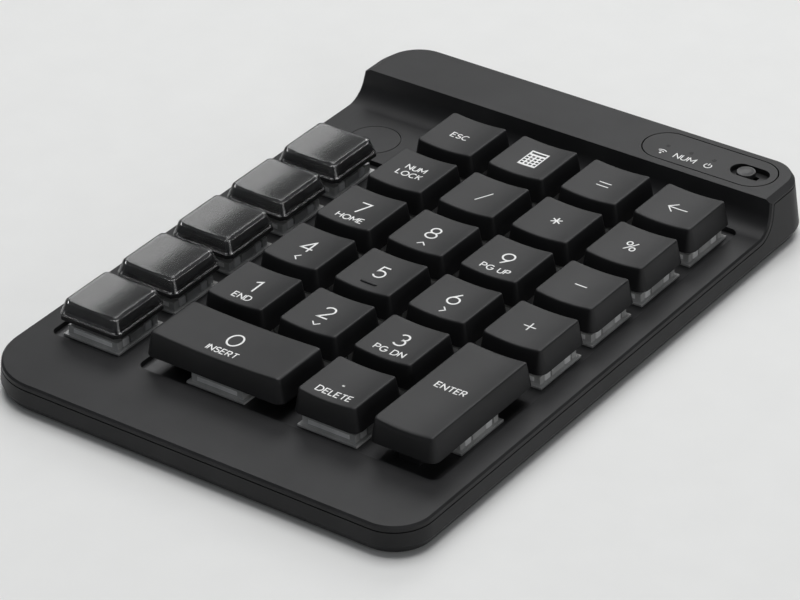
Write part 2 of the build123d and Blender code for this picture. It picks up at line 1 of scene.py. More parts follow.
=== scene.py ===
"""Looks of a programmable desk keypad: dished keycaps, clear label keys, printed legends and a studio stage.

Lengths are metres in the part's own frame: +X right along the rows, +Y to the rear bar, +Z up.
"""

import json

import bpy
import numpy as np
from mathutils import Matrix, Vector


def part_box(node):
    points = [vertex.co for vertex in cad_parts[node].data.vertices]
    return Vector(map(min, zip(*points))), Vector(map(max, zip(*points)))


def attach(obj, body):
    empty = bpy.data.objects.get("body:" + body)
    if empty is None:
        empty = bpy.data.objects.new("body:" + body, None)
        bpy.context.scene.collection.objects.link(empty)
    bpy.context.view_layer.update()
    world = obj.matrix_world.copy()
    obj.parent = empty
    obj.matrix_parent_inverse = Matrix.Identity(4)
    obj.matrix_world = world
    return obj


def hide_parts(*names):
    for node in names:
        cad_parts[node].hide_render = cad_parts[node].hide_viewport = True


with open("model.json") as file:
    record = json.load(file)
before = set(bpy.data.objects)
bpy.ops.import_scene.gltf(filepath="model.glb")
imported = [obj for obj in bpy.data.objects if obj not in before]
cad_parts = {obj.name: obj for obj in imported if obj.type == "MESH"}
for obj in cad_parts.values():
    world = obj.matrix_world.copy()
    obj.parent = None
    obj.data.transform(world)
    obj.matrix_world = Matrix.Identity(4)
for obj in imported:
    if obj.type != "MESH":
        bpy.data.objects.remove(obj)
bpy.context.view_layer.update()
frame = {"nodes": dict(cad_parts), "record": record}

bl_info = {
    "name": "Desk keypad looks",
    "version": (1, 0, 0),
    "blender": (4, 5, 0),
    "location": "View3D > Sidebar > Keypad",
    "description": "Builds the keycaps, clear keys, legends, finishes and stage of a desk keypad",
    "category": "Object",
}

MM = 0.001
NODES = frame["nodes"]
BODY = {node: body for body, nodes in frame["record"]["behaviour"]["bodies"].items() for node in nodes}
KEY_NODES = sorted(node for node in NODES if node.startswith("key_"))
MACRO_NUMBERS = sorted(int(node.rsplit("_", 1)[1]) for node in NODES if node.startswith("macro_cover_"))
KEY_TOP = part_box("key_escape")[1].z
SLIDER_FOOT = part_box("key_escape")[0].z
BAR_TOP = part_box("status_window")[1].z

# Caps: steps up the wall and over the top edge, and the shares of the top that its rings take
WALL_STEPS = 5
EDGE_STEPS = 5
TOP_SHARES = (0.86, 0.68, 0.48, 0.28, 0.1)
FOOT_BREAK = 0.12 * MM  # softening of a cap's foot
LEAST_CORNER = 0.3 * MM  # of a cap's hollow
CEILING_CORNER = 0.7  # corner radius under a cap's roof, as a share of the hollow's
FAN = 0.3  # the small ring inside a flat end, as a share of that end

# Sliders: half sizes of the bore, the lip and the stem, then heights above the foot
BORE_HALF, LIP_HALF, STEM_HALF = np.array([(1.7, 1.7), (5.5, 3.1), (4.8, 2.4)]) * MM
BORE_DEPTH = 3.3 * MM
LIP_TALL = 0.45 * MM
LIP_BREAK = 0.1 * MM
SLIDER_CORNER = 0.25 * MM

# Posts of the double keys: half the distance between them, half their width, and the height of their feet
POST_REACH = 12 * MM
POST_HALF = 1.6 * MM
POST_FOOT = 7.6 * MM

# Return springs: radius of the coil and of its wire, and the length under a pressed key
COIL_RADIUS = 1.3 * MM
WIRE_RADIUS = 0.2 * MM
PRESSED_LENGTH = 3.3 * MM

# Switch latches and front bars: half sizes, places from the key's middle, and heights from the housing's box.
# The front bars are thin near-white strips on the housings' front faces: painted highlights.
LATCH_HALF = (0.36 * MM, 1.05 * MM)
LATCH_AT = (6.33 * MM, 3.7 * MM)
LATCH_LIFT = 0.62 * MM
LATCH_DROP = 0.15 * MM
FRONT_HIGHLIGHT_HALF = (5.2 * MM, 0.08 * MM)
FRONT_HIGHLIGHT_AT = -6.73 * MM
FRONT_HIGHLIGHT_SPAN = (1.1 * MM, 2.1 * MM)

# The bar on the 5 key: its half size, its corner radius and its distance from the top's front edge
HOMING_HALF = np.array([2.1, 0.3]) * MM
HOMING_CORNER = 0.29 * MM
HOMING_AT = 2.6 * MM

# Print: the usual and the least length of a strip's cells, the length taken as none, and the least number
# that a mitre is divided by
STRIP_STEP = 0.5 * MM
STRIP_LEAST = 0.02 * MM
NO_LENGTH = 1e-7
MITRE_LEAST = 0.35
PRINT_DEPTH = 3  # depth of the print's body, in lifts
DIGIT_AT = (-0.2 * MM, 0.3 * MM)
BELOW = (0.0, -4.4 * MM)  # the word or small sign below a digit
ARROW_TALL = 2.2 * MM

# The window's signs: how far their row lies in front of the middle, the lamps' half size, the word's height,
# and the line width as a share of the line of the keys' words
SIGN_ROW = 2.7 * MM
LAMP_HALF = 0.5 * MM
SIGN_TALL = 1.85 * MM
SIGN_STROKE = 0.85

# The power knob in mm: its height, and the half width of its stalk and how far that reaches into it
KNOB_TALL = 1.25
STALK_HALF = 0.8
STALK_SINK = 0.05

# Finishes: clouds of colour per metre, depth of the bump, index of clear plastic, and the board's colours
CLOUD_SCALE = 90
BUMP_DEPTH = 0.02 * MM
CLEAR_IOR = 1.49
RIB_SCALE = (1, 1, 0.08)  # squeezes a pattern along Z into upright streaks
LACQUER = (0.01, 0.035, 0.02)
LACQUER_LIGHT = (0.012, 0.042, 0.024)
COPPER_RUN = (0.035, 0.11, 0.05)

# Dressing of the CAD nodes: reach of the weld, and the angles past which edges are bevelled or kept sharp
WELD_REACH = 0.0005 * MM
BEVEL_ANGLE = np.radians(35)
SHARP_ANGLE = np.radians(28)

# Stage: the floor's reach, where its bend into the backdrop starts, the bend's radius, and the backdrop's top
FLOOR_REACH = 4.0
BEND_START = 2.2
BEND_RADIUS = 1.2
BACKDROP_TOP = 4.0
SKY_COLOUR = (0.9, 0.95, 1.0, 1)
SKY_STRENGTH = 0.15
LIGHTS = {  # place, size and lean
    "rear_light": ((-0.512, 1.262, 0.841), (1.425, 0.507), np.radians(34)),
    "top_light": ((-0.1, 0.25, 1.5), (1.2, 1.2), 0.0),
    "side_light": ((1.1, -0.35, 0.38), (0.6, 0.5), 0.0),
}
CAMERA_AIM = np.array([11.4, -1.34, 15.4]) * MM
CAMERA_SHIFT = np.array([-9.37, -7.54]) * MM  # to the right and up
SENSOR_WIDTH = 36  # in mm, as the lens is


class KeypadKeys(bpy.types.PropertyGroup):
    """Sizes of the black keycaps."""

    height: bpy.props.FloatProperty(
        name="Cap height",
        description="From the skirt's foot to the top corners",
        default=5.6 * MM,
        unit="LENGTH",
    )
    inset: bpy.props.FloatProperty(
        name="Draw-in",
        description="How far each wall leans in over the cap's height",
        default=1.1 * MM,
        unit="LENGTH",
    )
    foot_corner: bpy.props.FloatProperty(
        name="Foot corner",
        description="Corner radius at the skirt's foot",
        default=2.15 * MM,
        unit="LENGTH",
    )
    top_corner: bpy.props.FloatProperty(
        name="Top corner",
        description="Corner radius at the top edge",
        default=0.75 * MM,
        unit="LENGTH",
    )
    sag: bpy.props.FloatProperty(
        name="Dish",
        description="Depth of the hollow across the top",
        default=0.58 * MM,
        unit="LENGTH",
    )
    edge: bpy.props.FloatProperty(
        name="Edge round",
        description="Reach of the rounding along the top edge",
        default=0.42 * MM,
        unit="LENGTH",
    )
    wall: bpy.props.FloatProperty(
        name="Wall",
        description="Thickness of the skirt",
        default=0.95 * MM,
        unit="LENGTH",
    )
    roof: bpy.props.FloatProperty(
        name="Roof",
        description="Thickness of the top at the bottom of the dish",
        default=1.5 * MM,
        unit="LENGTH",
    )


class KeypadClear(bpy.types.PropertyGroup):
    """Sizes of the clear label keys."""

    inset: bpy.props.FloatProperty(
        name="Draw-in",
        description="How far each wall leans in over the cover's height",
        default=1.35 * MM,
        unit="LENGTH",
    )
    foot_corner: bpy.props.FloatProperty(
        name="Foot corner",
        description="Corner radius at the cover's foot",
        default=2.1 * MM,
        unit="LENGTH",
    )
    top_corner: bpy.props.FloatProperty(
        name="Top corner",
        description="Corner radius at the top edge",
        default=1.0 * MM,
        unit="LENGTH",
    )
    sag: bpy.props.FloatProperty(
        name="Dish",
        description="Depth of the hollow across the top",
        default=0.34 * MM,
        unit="LENGTH",
    )
    edge: bpy.props.FloatProperty(
        name="Edge round",
        description="Reach of the rounding along the top edge",
        default=0.5 * MM,
        unit="LENGTH",
    )
    wall: bpy.props.FloatProperty(
        name="Wall",
        description="Thickness of the cover's walls",
        default=0.8 * MM,
        unit="LENGTH",
    )
    roof: bpy.props.FloatProperty(
        name="Roof",
        description="Thickness of the top at the bottom of the dish",
        default=0.66 * MM,
        unit="LENGTH",
    )


class KeypadPrint(bpy.types.PropertyGroup):
    """Sizes of the printed legends."""

    digit: bpy.props.FloatProperty(
        name="Digit height",
        description="Height of the digits",
        default=4.2 * MM,
        unit="LENGTH",
    )
    word: bpy.props.FloatProperty(
        name="Word height",
        description="Height of the words on the keys",
        default=1.75 * MM,
        unit="LENGTH",
    )
    stroke: bpy.props.FloatProperty(
        name="Stroke",
        description="Width of the lines of the words",
        default=0.3 * MM,
        unit="LENGTH",
    )
    digit_stroke: bpy.props.FloatProperty(
        name="Digit stroke",
        description="Width of the lines of the digits",
        default=0.44 * MM,
        unit="LENGTH",
    )
    lift: bpy.props.FloatProperty(
        name="Lift",
        description="Height of the print above the plastic",
        default=0.012 * MM,
        unit="LENGTH",
    )


class KeypadColours(bpy.types.PropertyGroup):
    """Base colours of the finishes."""

    case: bpy.props.FloatVectorProperty(
        name="Case",
        description="Matte case plastic",
        default=(0.013, 0.013, 0.0138),
        size=3,
        subtype="COLOR",
    )
    key: bpy.props.FloatVectorProperty(
        name="Keys",
        description="Satin keycap plastic",
        default=(0.011, 0.011, 0.0117),
        size=3,
        subtype="COLOR",
    )
    clear: bpy.props.FloatVectorProperty(
        name="Clear",
        description="Clear plastic of the covers",
        default=(0.95, 0.95, 0.955),
        size=3,
        subtype="COLOR",
    )
    label: bpy.props.FloatVectorProperty(
        name="Label",
        description="Dark insert in the clear covers",
        default=(0.02, 0.02, 0.0206),
        size=3,
        subtype="COLOR",
    )
    print: bpy.props.FloatVectorProperty(
        name="Print",
        description="Legends",
        default=(0.9, 0.9, 0.89),
        size=3,
        subtype="COLOR",
    )
    floor: bpy.props.FloatVectorProperty(
        name="Floor",
        description="Studio floor and backdrop",
        default=(0.78, 0.78, 0.77),
        size=3,
        subtype="COLOR",
    )


class KeypadStage(bpy.types.PropertyGroup):
    """Camera and studio light."""

    azimuth: bpy.props.FloatProperty(
        name="Azimuth",
        description="Camera's turn to the right of the front",
        default=0.63827,
        subtype="ANGLE",
    )
    elevation: bpy.props.FloatProperty(
        name="Elevation",
        description="Camera's height angle",
        default=0.56269,
        subtype="ANGLE",
    )
    roll: bpy.props.FloatProperty(
        name="Roll",
        description="Camera's roll",
        default=-0.02915,
        subtype="ANGLE",
    )
    distance: bpy.props.FloatProperty(
        name="Distance",
        description="From the camera to the middle of the keys",
        default=0.8261,
        unit="LENGTH",
    )
    lens: bpy.props.FloatProperty(
        name="Lens",
        description="Focal length on a 36 mm sensor",
        default=175.86,
        subtype="DISTANCE_CAMERA",
    )
    rear_light: bpy.props.FloatProperty(
        name="Rear light",
        description="Power of the large soft light behind on the left",
        default=7.4,
        subtype="POWER",
    )
    top_light: bpy.props.FloatProperty(
        name="Top light",
        description="Power of the soft light overhead",
        default=18.5,
        subtype="POWER",
    )
    side_light: bpy.props.FloatProperty(
        name="Side light",
        description="Power of the soft light on the right",
        default=2.2,
        subtype="POWER",
    )


def settings(context):
    """The keypad's settings on the scene, or an error if they aren't registered."""
    found = getattr(context.scene, "keypad", None)
    if found is None:
        raise RuntimeError("the keypad settings are not registered")
    return found


def plan(node):
    """A CAD node's low and high corners, and the middle and half size of its box seen from above."""
    low, high = (np.array(corner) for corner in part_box(node))
    return low, high, (low + high)[:2] / 2, (high - low)[:2] / 2


# Surfaces


def loop_frame(steps, runs):
    """Fixed parts of a rounded rectangle's outline, counter-clockwise from the right end of its first corner.

    Each point has a corner factor (cx, cy), from -1 to 1 along a straight side and a sign in a corner, and a
    unit normal (nx, ny). The first corner is the upper right one.
    """
    turn = np.linspace(0, np.pi / 2, steps + 1)
    along = np.linspace(0, 1, runs + 1)[1:-1]
    signs = np.array([(1, 1), (-1, 1), (-1, -1), (1, -1)], float)
    quarter = np.arange(4)[:, None] * np.pi / 2
    angle = np.concatenate([turn + quarter, np.repeat(turn[-1:] + quarter, runs - 1, 1)], 1)
    following = np.roll(signs, -1, 0)
    corner = np.repeat(signs[:, None, :], steps + 1, 1)
    side = signs[:, None, :] + along[None, :, None] * (following - signs)[:, None, :]
    factor = np.concatenate([corner, side], 1).reshape(-1, 2)
    normal = np.stack([np.cos(angle), np.sin(angle)], -1).reshape(-1, 2)
    return factor, normal


def loop(parts, half, radius):
    """Outline points: corner factor times (half size - radius), plus normal times radius.

    The half size (x, y) and the radius may be one value or one for each point.
    """
    factor, normal = parts
    radius = np.broadcast_to(radius, len(factor))[:, None]
    return factor * (np.broadcast_to(half, factor.shape) - radius) + normal * radius


def level(flat, height):
    """Outline points raised to a height, one value or one for each point."""
    return np.column_stack([flat, np.broadcast_to(height, len(flat))])


def skin(rings):
    """One closed surface through rings of equal length, its two ends closed by a fan to the ring's middle.

    Rings run counter-clockwise seen from the side the last ring faces, so faces point outward.
    """
    rings = np.asarray(rings, float)
    count, size = rings.shape[:2]
    points = np.concatenate([rings.reshape(-1, 3), rings[[0, -1]].mean(1)])
    here = np.arange(size)
    after = np.roll(here, -1)
    base = (np.arange(count - 1) * size)[:, None]
    quads = np.stack([base + here, base + after, base + size + after, base + size + here], -1).reshape(-1, 4)
    first, last = count * size, count * size + 1
    start = np.stack([np.full(size, first), after, here], -1)
    end = np.stack([np.full(size, last), (count - 1) * size + here, (count - 1) * size + after], -1)
    return points, [quads, start, end]


def joined(parts):
    """Several surfaces as one: their points end to end, and each one's faces shifted to its own points."""
    shift = np.cumsum([0] + [len(points) for points, faces in parts])
    points = np.concatenate([points for points, faces in parts])
    faces = [block + start for start, (_, blocks) in zip(shift, parts) for block in blocks]
    return points, faces


def moved(part, place):
    """A surface shifted by (x, y, z)."""
    return part[0] + np.asarray(place, float), part[1]


def make(name, part, material, body, smooth=40):
    """A mesh object of this surface, smooth but for edges sharper than the angle, riding on a body."""
    points, blocks = part
    mesh = bpy.data.meshes.new(name)
    sizes = np.concatenate([np.full(len(block), block.shape[1]) for block in blocks])
    corners = np.concatenate([block.ravel() for block in blocks]).astype(np.int32)
    mesh.vertices.add(len(points))
    mesh.vertices.foreach_set("co", np.asarray(points, np.float32).ravel())
    mesh.loops.add(len(corners))
    mesh.loops.foreach_set("vertex_index", corners)
    mesh.polygons.add(len(sizes))
    mesh.polygons.foreach_set("loop_start", np.concatenate([[0], np.cumsum(sizes)[:-1]]).astype(np.int32))
    mesh.update(calc_edges=True)
    if mesh.validate():
        raise RuntimeError(f"the surface of {name} has faulty faces")
    mesh.polygons.foreach_set("use_smooth", np.ones(len(sizes), bool))
    mesh.set_sharp_from_angle(angle=np.radians(smooth))
    piece = bpy.data.objects.new(name, mesh)
    bpy.context.scene.collection.objects.link(piece)
    mesh.materials.append(material)
    if body:
        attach(piece, body)
    return piece


def dish_height(x, width, sag, top):
    """Height of a hollow across X: a circle through the two top edges that dips by sag in the middle."""
    radius = (width**2 / 4 + sag**2) / (2 * sag)
    return top - sag + radius - np.sqrt(radius**2 - np.minimum(np.abs(x), width / 2) ** 2)


def rounded(parts, rows):
    """Rings of rounded rectangles: each row gives a half size, a corner radius and a height."""
    return [level(loop(parts, half, radius), height) for half, radius, height in rows]


def outer_rings(parts, half, foot, top, sizes):
    """Rings of a dished cap from its foot to the middle of its top.

    The wall draws in evenly with height while its corner radius shrinks from the foot's to the top's. The top
    edge lies where that wall meets the dish, and a quadratic curve from the wall over the edge rounds it. The
    rings then shrink to the middle on the dish.
    """
    half = np.asarray(half, float)
    tall = top - foot
    width = 2 * (half[0] - sizes.inset)

    def wall(height):
        share = np.clip((height - foot) / tall, 0, 1)
        radius = sizes.foot_corner + share * (sizes.top_corner - sizes.foot_corner)
        return loop(parts, half - sizes.inset * np.stack([share, share], -1), radius)

    count = len(parts[0])
    edge_z = np.full(count, top)
    for _ in range(3):  # each pass brings the edge nearer to the dish
        edge_z = dish_height(wall(edge_z)[:, 0], width, sizes.sag, top)
    edge = level(wall(edge_z), edge_z)
    below = level(wall(edge_z - sizes.edge), edge_z - sizes.edge)
    inward = edge[:, :2] * (1 - sizes.edge / np.minimum(*(half - sizes.inset)))
    inside = level(inward, dish_height(inward[:, 0], width, sizes.sag, top))
    low = wall(np.full(count, foot))
    start = foot + FOOT_BREAK
    rings = [level(low * (1 - FOOT_BREAK / half.min()), foot), level(low, start)]
    for share in np.linspace(0, 1, WALL_STEPS + 1)[1:-1]:
        height = start + share * (edge_z - sizes.edge - start)
        rings.append(level(wall(height), height))
    for t in np.linspace(0, 1, EDGE_STEPS + 1):
        rings.append((1 - t) ** 2 * below + 2 * t * (1 - t) * edge + t**2 * inside)
    for share in TOP_SHARES:
        flat = inside[:, :2] * share
        rings.append(level(flat, dish_height(flat[:, 0], width, sizes.sag, top)))
    return rings


def hollow(half, sizes):
    """Half size and corner radius of a cap's hollow at its foot: the outside less the wall."""
    return np.asarray(half, float) - sizes.wall, max(sizes.foot_corner - sizes.wall, LEAST_CORNER)


def inner_rings(parts, half, foot, roof, sizes, slope):
    """Rings of a cap's hollow from the middle of its flat roof down a leaning wall to its foot."""
    half, corner = hollow(half, sizes)
    up, tight = half - slope * (roof - foot), corner * CEILING_CORNER
    rows = [(up * share, tight * share, roof) for share in (0.08, 0.5, 0.96)]
    rows += [(up * 0.995, tight, roof - 0.1 * MM), (half, corner, foot)]
    return rounded(parts, rows)


def insert_rings(parts, half, foot, roof, sizes, slope):
    """Rings of the thin dark insert that lines a clear cover's hollow: a card with a skirt down the walls.

    Its outside follows the hollow, set out by a hair so that it is bonded to the cover, and ends above the
    foot.
    """
    bond, thick, rim, cut = 0.03 * MM, 0.07 * MM, 0.6 * MM, 0.22 * MM
    half, corner = hollow(half, sizes)
    tight = corner * CEILING_CORNER
    low, neck, high = (half - slope * up for up in (rim, roof - cut - foot, roof - foot))
    rows = [
        ((high - thick) * 0.1, tight * 0.1, roof - thick),
        (high - cut - thick, tight, roof - thick),
        (neck - thick, tight, roof - cut - thick),
        (low - thick, corner, foot + rim),
        (low + bond, corner, foot + rim),
        (neck + bond, tight, roof - cut),
        (high - cut, tight, roof + bond),
        (high * 0.5, tight * 0.5, roof + bond),
        (high * 0.1, tight * 0.1, roof + bond),
    ]
    return rounded(parts, rows)


def stem(foot, top):
    """A slider: a bore up its middle, a lip round its foot and an oblong stem, as rounded rectangles."""
    corner, ceiling, lip_top = SLIDER_CORNER, foot + BORE_DEPTH, foot + LIP_TALL
    rows = [
        (BORE_HALF * FAN, corner * FAN, ceiling),
        (BORE_HALF, corner, ceiling),
        (BORE_HALF, corner, foot),
        (LIP_HALF - LIP_BREAK, corner, foot),
        (LIP_HALF, corner, foot + LIP_BREAK),
        (LIP_HALF, corner, lip_top),
        (STEM_HALF, corner, lip_top),
        (STEM_HALF, corner, top),
        (STEM_HALF * FAN, corner * FAN, top),
    ]
    return skin(rounded(loop_frame(2, 2), rows))


def post(half, foot, top):
    """An upright post of square section with a softened foot, as rings of rounded squares."""
    half = np.array([half, half])
    corner, soft = 0.3 * MM, 0.15 * MM
    rows = [
        (half * FAN, corner * FAN, foot),
        (half - soft, corner, foot),
        (half, corner, foot + soft),
        (half, corner, top),
        (half * FAN, corner * FAN, top),
    ]
    return skin(rounded(loop_frame(2, 2), rows))


def latch(half, foot, top):
    """A latch: an upright block of rounded section whose head draws in, as rings of rounded rectangles."""
    half = np.asarray(half, float)
    corner = min(0.28 * MM, 0.8 * half.min())
    rows = [
        (half * FAN, corner * FAN, foot),
        (half, corner, foot),
        (half, corner, top - 0.4 * MM),
        (half - 0.2 * corner, 0.8 * corner, top - 0.18 * MM),
        (half - 0.65 * corner, 0.35 * corner, top),
        (half * 0.2, corner * 0.2, top),
    ]
    return skin(rounded(loop_frame(3, 2), rows))


def homing_bar():
    """The raised bar on the 5 key: a pill whose top edge draws in and whose foot is sunk into the cap."""
    steps = np.array([(0, -0.1), (0, 0.12), (0.06, 0.22), (0.18, 0.28)]) * MM  # draw-in and height
    rows = [(HOMING_HALF - inset, HOMING_CORNER - inset, height) for inset, height in steps]
    return skin(rounded(loop_frame(6, 4), rows))


def lathe(profile, around=64):
    """A turned form about Z: the profile's (radius, height) pairs carried round in equal steps."""
    profile = np.asarray(profile, float) * MM
    angle = np.linspace(0, 2 * np.pi, around, endpoint=False)
    circle = np.column_stack([np.cos(angle), np.sin(angle)])
    return skin([level(circle * radius, height) for radius, height in profile])


def coil(radius, wire, foot, top, turns=4, steps=16, around=8):
    """A coil spring: a circle of the wire's radius carried along a helix about Z.

    The helix turns at this radius while it climbs evenly from the foot to the top.
    """
    angle = np.linspace(0, 2 * np.pi * turns, steps * turns + 1)
    outward = np.column_stack([np.cos(angle), np.sin(angle), np.zeros_like(angle)])
    centre = outward * radius
    centre[:, 2] = np.linspace(foot + wire, top - wire, len(angle))
    section = np.linspace(0, -2 * np.pi, around, endpoint=False)
    rings = centre[:, None] + wire * np.cos(section)[:, None] * outward[:, None]
    rings[:, :, 2] += wire * np.sin(section)
    return skin(rings)


# Lettering


def arc(cx, cy, rx, ry, start, end, count=14):
    """Points on an ellipse about (cx, cy) from one angle to another, in degrees."""
    angle = np.radians(np.linspace(start, end, count))
    return np.column_stack([cx + rx * np.cos(angle), cy + ry * np.sin(angle)])


def line(*points):
    """A straight-sided stroke through these points."""
    return np.array(points, float)


def run(*pieces):
    """One stroke made of several pieces end to end."""
    return np.concatenate(pieces)


BOWL = run(line((0, 0), (0, 1), (0.32, 1)), arc(0.32, 0.73, 0.28, 0.27, 90, -90, 12), line((0, 0.46)))
# Each letter, digit or sign: its width and its strokes, for a height of 1
GLYPHS = {
    "C": (0.84, [arc(0.46, 0.5, 0.46, 0.5, 48, 312, 24)]),
    "D": (0.78, [run(line((0.32, 0), (0, 0), (0, 1), (0.32, 1)), arc(0.32, 0.5, 0.46, 0.5, 90, -90, 18))]),
    "E": (0.56, [line((0.56, 0), (0, 0), (0, 1), (0.56, 1)), line((0, 0.52), (0.5, 0.52))]),
    "G": (0.86, [run(arc(0.46, 0.5, 0.46, 0.5, 48, 345, 24), line((0.9, 0.46), (0.52, 0.46)))]),
    "H": (0.72, [line((0, 0), (0, 1)), line((0.72, 0), (0.72, 1)), line((0, 0.52), (0.72, 0.52))]),
    "I": (0.0, [line((0, 0), (0, 1))]),
    "K": (0.62, [line((0, 0), (0, 1)), line((0.6, 1), (0.02, 0.42)), line((0.2, 0.58), (0.62, 0))]),
    "L": (0.5, [line((0, 1), (0, 0), (0.5, 0))]),
    "M": (0.9, [line((0, 0), (0, 1), (0.45, 0.3), (0.9, 1), (0.9, 0))]),
    "N": (0.74, [line((0, 0), (0, 1), (0.74, 0), (0.74, 1))]),
    "O": (0.94, [arc(0.47, 0.5, 0.47, 0.5, 0, 360, 30)]),
    "P": (0.6, [BOWL]),
    "R": (0.62, [BOWL, line((0.3, 0.46), (0.62, 0))]),
    "S": (
        0.58,
        [run(arc(0.29, 0.75, 0.27, 0.25, 30, 250, 14), arc(0.29, 0.26, 0.29, 0.26, 70, -150, 14))],
    ),
    "T": (0.66, [line((0, 1), (0.66, 1)), line((0.33, 1), (0.33, 0))]),
    "U": (0.7, [run(line((0, 1)), arc(0.35, 0.35, 0.35, 0.35, 180, 360, 16), line((0.7, 1)))]),
    "0": (0.78, [arc(0.39, 0.5, 0.39, 0.5, 0, 360, 36)]),
    "1": (0.3, [line((0, 0.82), (0.3, 1), (0.3, 0))]),
    "2": (0.6, [run(arc(0.3, 0.7, 0.29, 0.3, 165, -35, 16), line((0.02, 0), (0.62, 0)))]),
    "3": (0.6, [run(arc(0.29, 0.74, 0.26, 0.26, 150, -80, 16), arc(0.29, 0.27, 0.3, 0.27, 80, -150, 18))]),
    "4": (0.7, [line((0.5, 0), (0.5, 1), (0, 0.28), (0.7, 0.28))]),
    "5": (0.6, [run(line((0.54, 1), (0.12, 1), (0.07, 0.55)), arc(0.29, 0.32, 0.31, 0.32, 125, -150, 20))]),
    "6": (0.64, [run(line((0.44, 1)), arc(0.32, 0.32, 0.32, 0.32, 150, 510, 34))]),
    "7": (0.6, [line((0, 1), (0.6, 1), (0.2, 0))]),
    "8": (0.62, [arc(0.31, 0.75, 0.26, 0.25, 0, 360, 28), arc(0.31, 0.26, 0.31, 0.26, 0, 360, 30)]),
    "9": (0.64, [run(line((0.2, 0)), arc(0.32, 0.68, 0.32, 0.32, -30, 330, 34))]),
    "=": (0.8, [line((0, 0.32), (0.8, 0.32)), line((0, 0.68), (0.8, 0.68))]),
    "-": (0.8, [line((0, 0.5), (0.8, 0.5))]),
    "+": (0.8, [line((0, 0.5), (0.8, 0.5)), line((0.4, 0.1), (0.4, 0.9))]),
    "/": (0.5, [line((0, 0), (0.5, 1))]),
    "*": (
        0.7,
        [
            line((0.35, 0.12), (0.35, 0.88)),
            line((0.02, 0.31), (0.68, 0.69)),
            line((0.02, 0.69), (0.68, 0.31)),
        ],
    ),
    "%": (
        0.9,
        [
            line((0.14, 0), (0.76, 1)),
            arc(0.2, 0.78, 0.18, 0.21, 0, 360, 20),
            arc(0.7, 0.22, 0.18, 0.21, 0, 360, 20),
        ],
    ),
    "<": (0.45, [line((0.45, 0.95), (0, 0.5), (0.45, 0.05))]),
    ">": (0.45, [line((0, 0.95), (0.45, 0.5), (0, 0.05))]),
    "^": (0.9, [line((0, 0.28), (0.45, 0.73), (0.9, 0.28))]),
    "v": (0.9, [line((0, 0.73), (0.45, 0.28), (0.9, 0.73))]),
    ".": (0.14, [line((0, 0.07), (0.14, 0.07))]),
    " ": (0.3, []),
}


def word(text, height, centre, width, gap=0.24):
    """Strokes of a word of this height about a centre, each with its line width: glyphs at even gaps."""
    widths = [GLYPHS[letter][0] for letter in text]
    starts = np.concatenate([[0], np.cumsum(np.array(widths) + gap)[:-1]])
    total = starts[-1] + widths[-1]
    return [
        ((stroke + (start - total / 2, -0.5)) * height + np.asarray(centre), width)
        for letter, start in zip(text, starts)
        for stroke in GLYPHS[letter][1]
    ]


def figure(strokes, centre, width):
    """Strokes of a sign drawn in millimetres about a centre, each with its line width."""
    return [(stroke * MM + np.asarray(centre), width) for stroke in strokes]


def ribbon(stroke, width):
    """A flat strip along a stroke: each point is set out to both sides by half the width along the mitre.

    Long runs are cut into short steps, so that the strip can follow a hollow. The mitre at a point is the sum
    of its two normals, divided by half the square of its own length, which keeps the strip's width in a turn.
    """
    closed = np.allclose(stroke[0], stroke[-1])
    length = np.linalg.norm(np.diff(stroke, axis=0), axis=1)
    real = length > NO_LENGTH
    stroke, length = stroke[np.concatenate([[True], real])], length[real]
    travel = np.concatenate([[0], np.cumsum(length)])
    extra = np.arange(0, travel[-1], STRIP_STEP)
    at = np.unique(np.round(np.concatenate([travel, extra]), 7))
    at = at[np.concatenate([[True], np.diff(at) > STRIP_LEAST])]
    path = np.column_stack([np.interp(at, travel, stroke[:, k]) for k in (0, 1)])
    step = np.diff(path, axis=0)
    step /= np.linalg.norm(step, axis=1)[:, None]
    before = np.concatenate([step[-1:] if closed else step[:1], step])
    after = np.concatenate([step, step[:1] if closed else step[-1:]])
    normal = np.stack([-(before + after)[:, 1], (before + after)[:, 0]], -1)
    normal /= np.maximum((normal**2).sum(1, keepdims=True) / 2, MITRE_LEAST)
    points = np.concatenate([path + normal * width / 2, path - normal * width / 2])
    count = len(path)
    k = np.arange(count - 1)
    faces = np.stack([k, count + k, count + k + 1, k + 1], -1)
    return points, faces


def printed(strokes, height_at, lift):
    """All strokes as one thin sheet on a surface: the strips' points lie at its height plus the lift."""
    parts = [ribbon(stroke, width) for stroke, width in strokes]
    return joined([(level(flat, height_at(flat) + lift), [faces]) for flat, faces in parts])


def thicken(piece, depth):
    """Gives a printed sheet a body that reaches this far down into the surface below it."""
    solid = piece.modifiers.new("body", "SOLIDIFY")
    solid.thickness = depth
    solid.offset = -1
    return piece


# The calculator sign in mm: its cross lines (place, width), its upright lines, and the sides of its display
CALCULATOR_ROWS = ((2.95, 0.5), (1.64, 0.72), (0.42, 0.38), (-0.64, 0.38), (-1.7, 0.38), (-2.88, 0.64))
CALCULATOR_COLUMNS = ((-2.14, 0.32), (-1.11, 0.44), (0, 0.44), (1.11, 0.44), (2.14, 0.32))
CALCULATOR = (
    [(line((-2.3, y), (2.3, y)), width) for y, width in CALCULATOR_ROWS]
    + [(line((x, -3.2), (x, 1.64)), width) for x, width in CALCULATOR_COLUMNS]
    + [(line((x, 1.64), (x, 3.2)), 0.44) for x in (-2.08, 2.08)]
)
BACK_ARROW = [line((2.4, 0), (-2.4, 0)), line((-0.7, 1.7), (-2.4, 0), (-0.7, -1.7))]
POWER = [arc(0, 0, 0.85, 0.85, 125, 415, 26), line((0, 0.15), (0, 1.1))]
RADIO = [
    arc(0, -0.8, 0.16, 0.16, 0, 360, 10),
    arc(0, -0.8, 0.8, 0.8, 45, 135, 10),
    arc(0, -0.8, 1.45, 1.45, 45, 135, 12),
]
